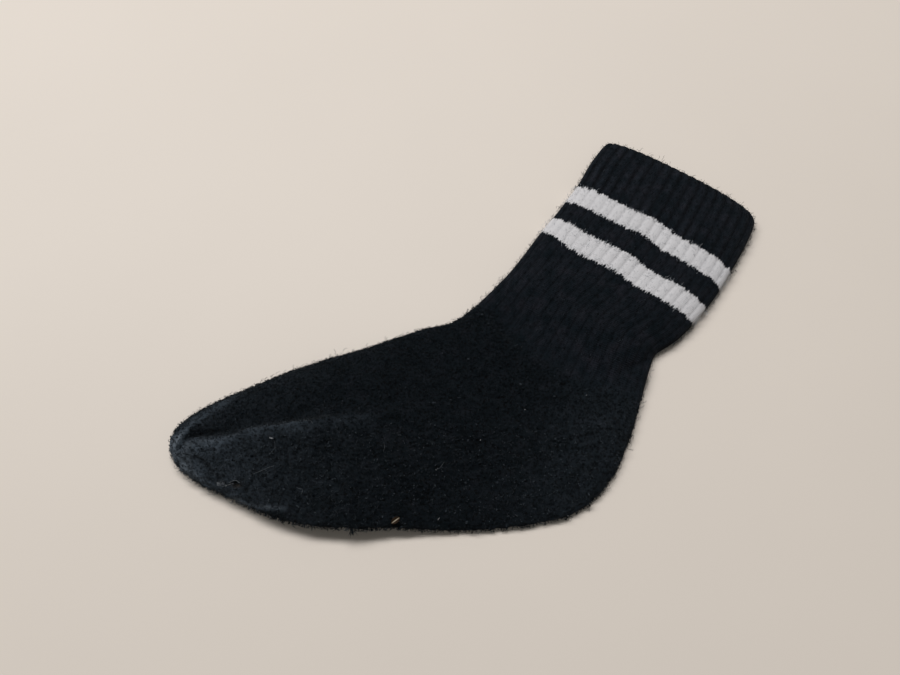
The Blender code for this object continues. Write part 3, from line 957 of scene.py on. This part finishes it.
def knit_material(sizes, colours):
    """Ring-spun cotton: rib knit in the leg and matted terry in the foot. The yarn is dull with a faint
    haze of fibre ends, the rings are bleached yarn, and the toes are rubbed pale and painted with sheen.
    Painted highlights lie along the ridge's crest, the toe's rims and the lip, and painted shade lies in the
    grooves and beside the ridge."""
    material, tree, shader = cotton("cotton rib and terry knit", KNIT_SHEEN)
    node = partial(add, tree)
    place = node("TexCoord", output="Object")
    knit = node("UVMap", uv_map="knit")
    around, course = (node("SeparateXYZ", (knit,), output=axis) for axis in "XY")
    terry, wear_and_painted_light, dirt = (
        node("Attribute", output="Fac", attribute_name=key) for key in ("terry", "wear_and_painted_light", "dirt"))
    clouds = {size: node("TexNoise", {
        "Vector": place, "Scale": 1 / (size * MM), "Detail": detail, "Distortion": distortion,
        "Roughness": 0.6}) for size, detail, distortion in CLOUDS}
    streaks = {}
    for width, length in STREAKS:
        stretched = node("VectorMath MULTIPLY", (knit, (CIRCUMFERENCE / width, 1 / (length * MM), 0.0)))
        streaks[width] = node("TexNoise", {
            "Vector": stretched, "Scale": 1.0, "Detail": 3.0, "Roughness": 0.7})

    # The rings: white is where the distance from the middle of the black gap is between half the gap and
    # that and a ring. Its edge steps by the stitch, frays, and reaches up on the ribs' crests.
    groove_wave = node("Math COSINE", (node("Math MULTIPLY", (around, math.tau * sizes.ribs)),))
    wales = node("Math MULTIPLY", (around, WALES_PER_RIB * sizes.ribs))
    wale = node("Math MULTIPLY", (node("Math PINGPONG", (wales, 0.5)), 2.0))
    row = node("Math FLOOR", (node("Math DIVIDE", (course, RING_WIDTH)),))
    number = node("Math MULTIPLY_ADD", (row, ROW_SHIFT, node("Math FLOOR", (wales,))))
    stray = node("TexWhiteNoise", {"W": number}, output="Value", noise_dimensions="1D")
    edge = node("Math MULTIPLY", (groove_wave, -CREST_REACH))
    strays = ((wale, RING_POINT), (stray, RING_STEP), (streaks[0.7], RING_FRAY), (clouds[4], RING_STRAY))
    for pattern, reach in strays:
        edge = node("Math MULTIPLY_ADD", (pattern, reach, edge))
    middle = RING_MIDDLE + sum(reach for _, reach in strays) / 2
    off_middle = node("Math SUBTRACT", (node("Math ADD", (course, edge)), middle))
    from_middle = node("Math ABSOLUTE", (off_middle,))
    borders = [node("MapRange", {
        "Value": from_middle, "From Min": border - YARN_BLEND, "From Max": border + YARN_BLEND,
    }) for border in (RING_GAP / 2, RING_GAP / 2 + RING_WIDTH)]
    white = node("Math SUBTRACT", borders, use_clamp=True)

    # The yarn: rubbed pale at the toes and painted with sheen, with painted highlights and shade along lines,
    # mottled by matting, with paler and darker fibres, with painted shade in the grooves, more broadly so
    # above the rings, and dirty in the worn spot
    # Painted shade in each groove between the ribs
    groove = node("Math POWER", (node("Math MAXIMUM", (groove_wave, 0.0)), GROOVE_SHARP))
    groove = node("Math MULTIPLY", (groove, node("Math SUBTRACT", (1.0, terry))))
    in_foot = node("Math MULTIPLY", (terry, 3.0), use_clamp=True)
    base = node("Math MULTIPLY_ADD", (in_foot, *MOTTLE_BASE))
    mottle = node("Math MULTIPLY_ADD", (clouds[6], MOTTLE_GAIN, base))
    fibres = node("Mix", (FIBRE_STREAKS, clouds[1.3], streaks[0.7]))
    fibres = node("Mix", (terry, fibres, clouds[1.3]))
    heather = node("Math MULTIPLY_ADD", (fibres, *HEATHER), use_clamp=True)
    evened = node("Math MULTIPLY", (wear_and_painted_light, WORN_AND_LIT_HEATHER[0]), use_clamp=True)
    heather = node("Mix", (evened, heather, WORN_AND_LIT_HEATHER[1]))
    heather = node("Math MULTIPLY_ADD", (heather, *HEATHER_TONE))
    broad = node("Math MULTIPLY", (groove_wave, node("Math MULTIPLY_ADD", (clouds[12], *BROAD_GROOVE))))
    above_rings = node("Math LESS_THAN", (course, RING_MIDDLE - (RING_GAP + RING_WIDTH) / 2))
    uneven = node("Math MULTIPLY_ADD", (streaks[1.4], *STREAK_TONE))
    uneven = node("Math MULTIPLY_ADD", (above_rings, broad, uneven))
    uneven = node("Mix", (terry, uneven, 1.0))
    grooved = node("Math MULTIPLY", (node("Math MULTIPLY_ADD", (groove, *GROOVE_TONE)), uneven))
    shade = node("Math MULTIPLY", (node("Math MULTIPLY", (mottle, heather)), grooved))
    rust = node("Math MULTIPLY_ADD", (terry, *RUST_BASE))
    rust = node("Math MULTIPLY_ADD", (clouds[6], RUST_GAIN, rust), use_clamp=True)
    # Painted light over the rubbing: paler towards the pale yarn colour, and past 1 towards the fibre ends'
    # colour for the brightest painted highlights
    pale = node("Math MINIMUM", (wear_and_painted_light, 1.0))
    palest = node("Math SUBTRACT", (wear_and_painted_light, 1.0), use_clamp=True)
    black = (*colours.black, 1)
    for share, tint in ((rust, colours.rusty), (pale, colours.faded_and_highlight), (palest, colours.fibre)):
        black = node("Mix", (share, black, (*tint, 1)), data_type="RGBA")
    shade = node("CombineColor", (shade,) * 3)
    black = node("Mix", (1.0, black, shade), data_type="RGBA", blend_type="MULTIPLY")
    black = node("Mix", (dirt, black, (*colours.dirt, 1)), data_type="RGBA")
    # The white yarn: uneven bleaching, with painted shade in the grooves
    bleach_and_groove_shade = node("Math MULTIPLY_ADD", (groove, *WHITE_GROOVE_SHADE))
    bleach_and_groove_shade = node("Math MULTIPLY_ADD", (clouds[0.9], BLEACH_GAIN, bleach_and_groove_shade))
    bleach_and_groove_shade = node("CombineColor", (bleach_and_groove_shade,) * 3)
    bleached = node("Mix", (1.0, (*colours.white, 1), bleach_and_groove_shade), data_type="RGBA", blend_type="MULTIPLY")
    tree.links.new(node("Mix", (white, black, bleached), data_type="RGBA"), shader.inputs["Base Color"])

    # Relief finer than the mesh: chevrons of stitches in the leg, tangled loops in the foot, and lint.
    # It is flatter on the white yarn, and where the cloth is rubbed and where highlights are painted.
    slant = node("Math MULTIPLY_ADD", (wale, 0.5, node("Math DIVIDE", (course, sizes.course))))
    chevron = node("Math SINE", (node("Math MULTIPLY", (slant, math.tau)),))
    course_share, wale_share = CHEVRON_SHARES
    stitches = node("Math MULTIPLY_ADD", (
        chevron, course_share, node("Math MULTIPLY", (wale, wale_share))))
    pull = node("TexNoise", {"Vector": place, "Scale": 1 / (LOOP_WARP[1] * MM)}, output="Color")
    askew = node("Mix", (LOOP_WARP[0], place, pull), data_type="VECTOR")
    loops = node("TexVoronoi", {"Vector": askew, "Scale": 1 / (LOOP_SIZE * MM)}, feature="SMOOTH_F1")
    tangled = node("Math MULTIPLY_ADD", (clouds[0.8], TANGLE_SHARE, loops))
    height = node("Math MULTIPLY_ADD", (
        clouds[0.3], LINT_SHARE, node("Mix", (terry, stitches, tangled))))
    white_flat, worn_and_lit_flat = FLATTENED
    flat = node("Math MULTIPLY_ADD", (white, white_flat, node("Math MULTIPLY", (wear_and_painted_light, worn_and_lit_flat))))
    height = node("Math MULTIPLY", (height, node("Math SUBTRACT", (1.0, flat), use_clamp=True)))
    bump = node("Bump", {"Strength": 1.0, "Distance": STITCH_RELIEF, "Height": height})
    tree.links.new(bump, shader.inputs["Normal"])
    return material


def strand_material(name, dark, pale):
    """Cotton fibres whose tone runs from dark to pale strand by strand."""
    material, tree, shader = cotton(name, STRAND_SHEEN)
    tone = add(tree, "Attribute", output="Fac", attribute_name="tone")
    mixed = add(tree, "Mix", (tone, (*dark, 1), (*pale, 1)), data_type="RGBA")
    tree.links.new(mixed, shader.inputs["Base Color"])
    return material


def husk_material(rgb):
    """Dry straw husk: cream and smooth within, and browner towards its rims."""
    material, tree, shader = plain_material("dry straw husk", roughness=0.7, specular=0.15)
    rim = add(tree, "Attribute", output="Fac", attribute_name="rim")
    share = add(tree, "MapRange", {"Value": rim, "From Min": 0.06, "From Max": 0.2})
    mixed = add(tree, "Mix", (share, (*colour("#a39784"), 1), (*rgb, 1)), data_type="RGBA")
    tree.links.new(mixed, shader.inputs["Base Color"])
    return material


def painted_material(rgb):
    """Satin painted board: pale, with a broad dull gloss and a hardly visible unevenness."""
    material, tree, shader = plain_material("satin painted board", roughness=0.55, specular=0.3)
    place = add(tree, "TexCoord", output="Object")
    cloud = add(tree, "TexNoise", {"Vector": place, "Scale": 9.0, "Detail": 3.0})
    shade = add(tree, "MapRange", {"Value": cloud, "To Min": 0.98, "To Max": 1.02})
    grey = add(tree, "CombineColor", (shade,) * 3)
    tone = add(tree, "Mix", (1.0, (*rgb, 1), grey), data_type="RGBA", blend_type="MULTIPLY")
    tree.links.new(tone, shader.inputs["Base Color"])
    return material


# ---------------------------------------------------------------- the pieces
class SOCK_OT_knit(Operator):
    """Knit the sock's tube, with its ribs, folds, rings and worn spot"""
    bl_idname = "sock.knit"
    bl_label = "Knit"

    def execute(self, context):
        scene = context.scene
        rows, values = knit_grid(scene.sock_sizes, scene.sock_amounts.seed)
        mesh = mapped_grid("sock_knit", rows, values)
        knit = new_piece("sock_knit", mesh, knit_material(scene.sock_sizes, scene.sock_colours))
        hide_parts("sock")
        return {"FINISHED"}


class SOCK_OT_pile(Operator):
    """Raise the terry loops of the foot, in one piece for the sole side and one for the instep side"""
    bl_idname = "sock.pile"
    bl_label = "Terry pile"

    def execute(self, context):
        sizes = context.scene.sock_sizes
        colours, amounts, rng, faces = start_step(context, 1)
        reached = smooth_step(faces["terry"], *PILE_START) * smooth_step(faces["centre"][:, 2], *PILE_CLEAR)
        sole = smooth_step(-faces["centre"][:, 1], *SOLE_SIDE)
        material = strand_material("cotton terry pile", colours.black, colours.fibre)
        for name, weight, height in (
            ("terry_pile_sole", reached * sole, PILE_SIDES[0]),
            ("terry_pile_instep", reached * (1 - sole), PILE_SIDES[1]),
        ):
            place, normal, face = planted(faces, weight, amounts.loops, rng)
            clump = lumps(place / MM, CLUMP_SIZE, 8)
            along = sideways(normal, rng)
            tall = sizes.pile_height * height * rng.uniform(*PILE_TALL, len(place)) * (1 + CLUMP_LIFT * clump)
            steep = 1 - np.clip(normal[:, 2], 0, 1)
            tall *= 1 + SOLE_SHAG * smooth_step(-place[:, 1] / MM, *SHAG_PLACE) * steep
            broad = sizes.pile_height * rng.uniform(*PILE_BROAD, len(place))
            routes = routes_from(place, normal, along, LOOP_SHAPE, broad, tall)
            routes[:, 1:3] += rng.normal(scale=PILE_LOOSE * sizes.pile_height, size=routes[:, 1:3].shape)
            glint = height ** 4 * rng.random(len(place)) ** GLINT_POWER
            glint *= GLINT_TONES[0] + GLINT_TONES[1] * np.maximum(clump, -0.1)
            # Loops are paler where the knit is rubbed and where it has painted highlights
            rubbed = np.minimum(faces["wear_and_painted_light"][face], 1.5) * rng.uniform(*WORN_AND_LIT_TONES, len(place))
            tones = glint + rubbed * (WORN_AND_LIT_LEVEL + clump)
            tones = np.clip(tones, 0, 1)
            new_strands(name, routes, sizes.yarn / 2 * TAPER, tones, material)
        return {"FINISHED"}


class SOCK_OT_fuzz(Operator):
    """Raise loose fibre ends, black over the whole sock and white over the rings"""
    bl_idname = "sock.fuzz"
    bl_label = "Fuzz"

    def execute(self, context):
        colours, amounts, rng, faces = start_step(context, 2)
        from_middle = np.abs(faces["course"] - RING_MIDDLE)
        white = (from_middle > RING_GAP / 2) & (from_middle < RING_GAP / 2 + RING_WIDTH)
        from_border = np.abs(np.abs(from_middle - (RING_GAP + RING_WIDTH) / 2) - RING_WIDTH / 2)
        border = 1 - smooth_step(from_border, *BORDER_REACH)
        clear = smooth_step(faces["centre"][:, 2], *FUZZ_CLEAR)
        edge = 1 - smooth_step(faces["normals"].mean(axis=1)[:, 2], *EDGE_SLOPE)
        mouth = 1 - smooth_step(faces["course"], *MOUTH_REACH)
        few, worn_and_lit_tone, edge_rim_light = FUZZ_TONES
        for name, area, crowds, count, material in (
            ("fibre_ends_black", ~white, BLACK_CROWDS, amounts.hairs,
             strand_material("loose black cotton fibres", colours.black, colours.fibre)),
            ("fibre_ends_white", white, WHITE_CROWDS, amounts.hairs // WHITE_ENDS,
             strand_material("loose white cotton fibres", colours.lint, colours.white)),
        ):
            crowded = 1 + sum(more * where for more, where in zip(crowds, (edge, mouth, border)))
            place, normal, face = planted(faces, clear * area * crowded, count, rng)
            along = sideways(normal, rng)
            reach = rng.gamma(*FUZZ_LENGTH, count) * (1 + 0.1 * edge[face])
            tall = rng.uniform(*FUZZ_TALL, count) * reach * (1 + 0.8 * edge[face])
            routes = routes_from(place, normal, along, FIBRE_SHAPE, reach, tall, FUZZ_SINK * MM)
            routes[:, 1:] += rng.normal(scale=FUZZ_LOOSE * MM, size=routes[:, 1:].shape)
            radii = HAIR / 2 * (1 + 0.6 * edge[face])[:, None] * TAPER
            # Paler where the knit is rubbed and painted light, and paler at the outline as a painted rim
            # highlight
            tones = rng.random(count) ** few + worn_and_lit_tone * faces["wear_and_painted_light"][face] + edge_rim_light * edge[face]
            new_strands(name, routes, radii, np.clip(tones, 0, 1), material)

        # Longer fibres that lie curled on the worn terry of the sole and the toes
        x, y = faces["centre"][:, 0], faces["centre"][:, 1]
        worn = smooth_step(-y, *CURL_SIDE) * (1 + TOE_CROWD * smooth_step(-x, *CURL_TOES))
        place, normal, _ = planted(faces, clear * faces["terry"] * (1 - edge) * worn, amounts.curls, rng)
        count = len(place)
        turn = np.cumsum(rng.normal(scale=CURL_TURN, size=(count, CURL_BENDS)), axis=1)
        turn += rng.uniform(0, math.tau, (count, 1))
        step = rng.uniform(*CURL_STEP, (count, 1)) * MM
        along = sideways(normal, rng)
        aside = np.cross(normal, along)
        far, off = np.cumsum(np.cos(turn) * step, axis=1), np.cumsum(np.sin(turn) * step, axis=1)
        tall = rng.uniform(*CURL_TALL, (count, CURL_BENDS)) * MM
        ways = ((far, along), (off, aside), (tall, normal))
        routes = place[:, None] + sum(size[..., None] * way[:, None] for size, way in ways)
        material = strand_material("curled cotton fibres", colours.black, colours.curl)
        tones = CURL_TONES[0] + CURL_TONES[1] * rng.random(count) ** 2
        new_strands("curled_fibres", routes, HAIR / 2, tones, material)
        return {"FINISHED"}


class SOCK_OT_pills(Operator):
    """Scatter pills, little balls of tangled fibre, over the upper side of the foot"""
    bl_idname = "sock.pills"
    bl_label = "Pills"

    def execute(self, context):
        colours, amounts, rng, faces = start_step(context, 3)
        flat = smooth_step(faces["normals"].mean(axis=1)[:, 2], 0.5, 0.9)
        weight = smooth_step(faces["terry"], 0.0, 1.0) * flat
        place, normal, _ = planted(faces, weight, amounts.pills, rng)
        bm = bmesh.new()
        tone = bm.verts.layers.float.new("tone")
        for point, up in zip(place, normal):
            radius = rng.uniform(*PILL_RADII) * MM
            made = bmesh.ops.create_icosphere(bm, subdivisions=2, radius=radius)["verts"]
            stretch = Vector(rng.uniform(*PILL_STRETCH, 3))
            shade = PILL_TONE * rng.random() ** 2
            for vert in made:
                rough = 1 + PILL_ROUGH[0] * noise.noise(vert.co / radius * PILL_ROUGH[1] + Vector(point) / MM)
                vert.co = vert.co * stretch * rough + Vector(point) + Vector(up) * radius * 0.5
                vert[tone] = shade
        material = strand_material("pilled cotton", colours.black, colours.fibre)
        new_piece("pills", finished(bm, "pills"), material)
        return {"FINISHED"}


class SOCK_OT_fray(Operator):
    """Fray the worn spot: broken yarns over the small hole, and the pale fluff rubbed up beside it"""
    bl_idname = "sock.fray"
    bl_label = "Worn spot"

    def execute(self, context):
        colours, _, rng, faces = start_step(context, 4)
        spot, fluff = upper_points(faces, (WORN_SPOT, FLUFF_SPOT))
        count = FRAYED_YARNS
        turn = rng.uniform(0, math.tau, count)
        rim = np.stack([
            WORN_SIZE[0] * np.cos(turn), WORN_SIZE[1] * np.sin(turn), np.full(count, FRAY_HEIGHT)], axis=1)
        rim = spot + rim * MM
        up = np.tile((0.0, 0.0, 1.0), (count, 1))
        inward = unit(spot - rim + rng.normal(scale=FRAY_SPREAD * MM, size=rim.shape)) * (1, 1, 0)
        reach = rng.uniform(*FRAY_REACH, count) * MM
        routes = routes_from(rim, up, inward, FRAY_SHAPE, reach, reach, FRAY_SINK * MM)
        routes[:, 1:] += rng.normal(scale=FRAY_LOOSE * MM, size=routes[:, 1:].shape)
        material = strand_material("frayed cotton yarn", colours.black, colours.fibre)
        new_strands("frayed_yarns", routes, FRAY / 2 * TAPER, rng.random(count) ** 1.5, material)

        routes = tangle(fluff, FLUFF_REACH, FLUFF_FIBRES, rng)
        material = strand_material("rubbed cotton fluff", colours.fibre, colours.lint)
        new_strands("rubbed_fluff", routes, HAIR / 2, rng.random(FLUFF_FIBRES) ** 3, material)

        routes = bent_route(upper_points(faces, WORN_THREAD), 0.3 * MM)
        material = strand_material("broken pale thread", colours.fibre, colours.lint)
        new_strands("broken_thread", routes, HAIR, [0.25], material)
        return {"FINISHED"}


class SOCK_OT_litter(Operator):
    """Catch lint, loose hairs, tufts and a flake of chaff in the cloth"""
    bl_idname = "sock.litter"
    bl_label = "Litter"

    def execute(self, context):
        colours, _, rng, faces = start_step(context, 5)

        lint = strand_material("white lint", colours.lint, colours.white)
        flecks = []
        for centre, (_, _, length, width, turn, count) in zip(upper_points(faces, LINT), LINT):
            fibres = tangle(np.zeros(3), (length / 2, width / 2, 0.25), count, rng)
            c, s = math.cos(math.radians(turn)), math.sin(math.radians(turn))
            flecks.append(centre + fibres @ np.array(((c, s, 0), (-s, c, 0), (0, 0, 1))) + (0, 0, 0.4 * MM))
        flecks = np.concatenate(flecks)
        new_strands("lint_flecks", flecks, HAIR / 2, rng.random(len(flecks)), lint)

        dull = strand_material("dull grey hair", colours.fibre, colours.lint)
        for number, (points, thickness) in enumerate(HAIRS, 1):
            route = bent_route(upper_points(faces, points), 0.5 * MM)
            new_strands(f"loose_hair_{number}", route, thickness / 2 * MM, [0.25], dull)

        black = strand_material("black cotton tuft", colours.black, colours.fibre)
        for number, (x, y, z, length, turn, count) in enumerate(TUFTS, 1):
            turns = math.radians(turn) + rng.normal(scale=TUFT_SPREAD, size=count)
            along = np.stack([np.cos(turns), np.sin(turns), 0 * turns], axis=1)
            place = np.array((x, y, z)) * MM + rng.normal(scale=TUFT_SPREAD * MM, size=(count, 3))
            reach = length * MM * rng.uniform(*TUFT_REACH, count)
            up = unit(rng.normal(size=(count, 3)))
            routes = routes_from(place, up, along, TUFT_SHAPE, reach, reach)
            new_strands(f"tuft_{number}", routes, TUFT / 2 * TAPER, 0.1 * rng.random(count), black)

        flake = husk(upper_points(faces, (CHAFF_PLACE,))[0])
        new_piece("chaff_flake", flake, husk_material(colours.chaff))
        return {"FINISHED"}


class SOCK_OT_stage(Operator):
    """Lay the pale floor, hang the ceiling panel, light the surroundings and set the camera"""
    bl_idname = "sock.stage"
    bl_label = "Stage"

    def execute(self, context):
        scene = context.scene
        bm = bmesh.new()
        bmesh.ops.create_grid(bm, x_segments=1, y_segments=1, size=FLOOR_SIZE)
        bmesh.ops.translate(bm, verts=bm.verts, vec=(0, 0, -FLOOR_GAP))
        mesh = finished(bm, "floor")
        mesh.materials.append(painted_material(scene.sock_colours.floor))
        floor = bpy.data.objects.new("floor", mesh)
        scene.collection.objects.link(floor)

        lamp = bpy.data.lights.new("ceiling panel", "AREA")
        lamp.shape = "RECTANGLE"
        lamp.size, lamp.size_y = LAMP_SIZE
        lamp.energy = LAMP_POWER
        lamp.color = colour(LAMP_COLOUR)
        holder = bpy.data.objects.new("ceiling panel", lamp)
        holder.location = LAMP_PLACE
        scene.collection.objects.link(holder)

        world = bpy.data.worlds.new("soft surroundings")
        world.use_nodes = True
        sky = world.node_tree.nodes["Background"]
        sky.inputs["Color"].default_value = (*colour(SKY_COLOUR), 1)
        sky.inputs["Strength"].default_value = SKY_STRENGTH
        scene.world = world

        camera = bpy.data.cameras.new("camera")
        camera.lens = CAMERA_LENS
        camera.clip_start = 0.01
        eye = bpy.data.objects.new("camera", camera)
        eye.location = CAMERA_PLACE
        eye.rotation_euler = (CAMERA_TILT, 0, 0)
        scene.collection.objects.link(eye)
        scene.camera = eye
        scene.view_settings.view_transform = "Standard"
        return {"FINISHED"}


class SOCK_PT_maker(Panel):
    """Steps and sizes of the sock"""
    bl_idname = "SOCK_PT_maker"
    bl_label = "Worn Crew Sock"
    bl_space_type = "VIEW_3D"
    bl_region_type = "UI"
    bl_category = "Sock"

    def draw(self, context):
        for step in STEPS:
            self.layout.operator(step.bl_idname)
        for group in (context.scene.sock_sizes, context.scene.sock_colours, context.scene.sock_amounts):
            box = self.layout.box()
            for name in group.bl_rna.properties.keys():
                if name not in ("rna_type", "name"):
                    box.prop(group, name)


STEPS = (SOCK_OT_stage, SOCK_OT_knit, SOCK_OT_pile, SOCK_OT_fuzz, SOCK_OT_pills, SOCK_OT_fray, SOCK_OT_litter)
GROUPS = {"sock_sizes": SockSizes, "sock_colours": SockColours, "sock_amounts": SockAmounts}


def register():
    for made in (*GROUPS.values(), *STEPS, SOCK_PT_maker):
        bpy.utils.register_class(made)
    for name, group in GROUPS.items():
        setattr(bpy.types.Scene, name, PointerProperty(type=group))


def unregister():
    for name in GROUPS:
        delattr(bpy.types.Scene, name)
    for made in reversed((*GROUPS.values(), *STEPS, SOCK_PT_maker)):
        bpy.utils.unregister_class(made)


def main():
    register()
    for step in STEPS:
        group, name = step.bl_idname.split(".")
        getattr(getattr(bpy.ops, group), name)()


if __name__ == "__main__":
    main()
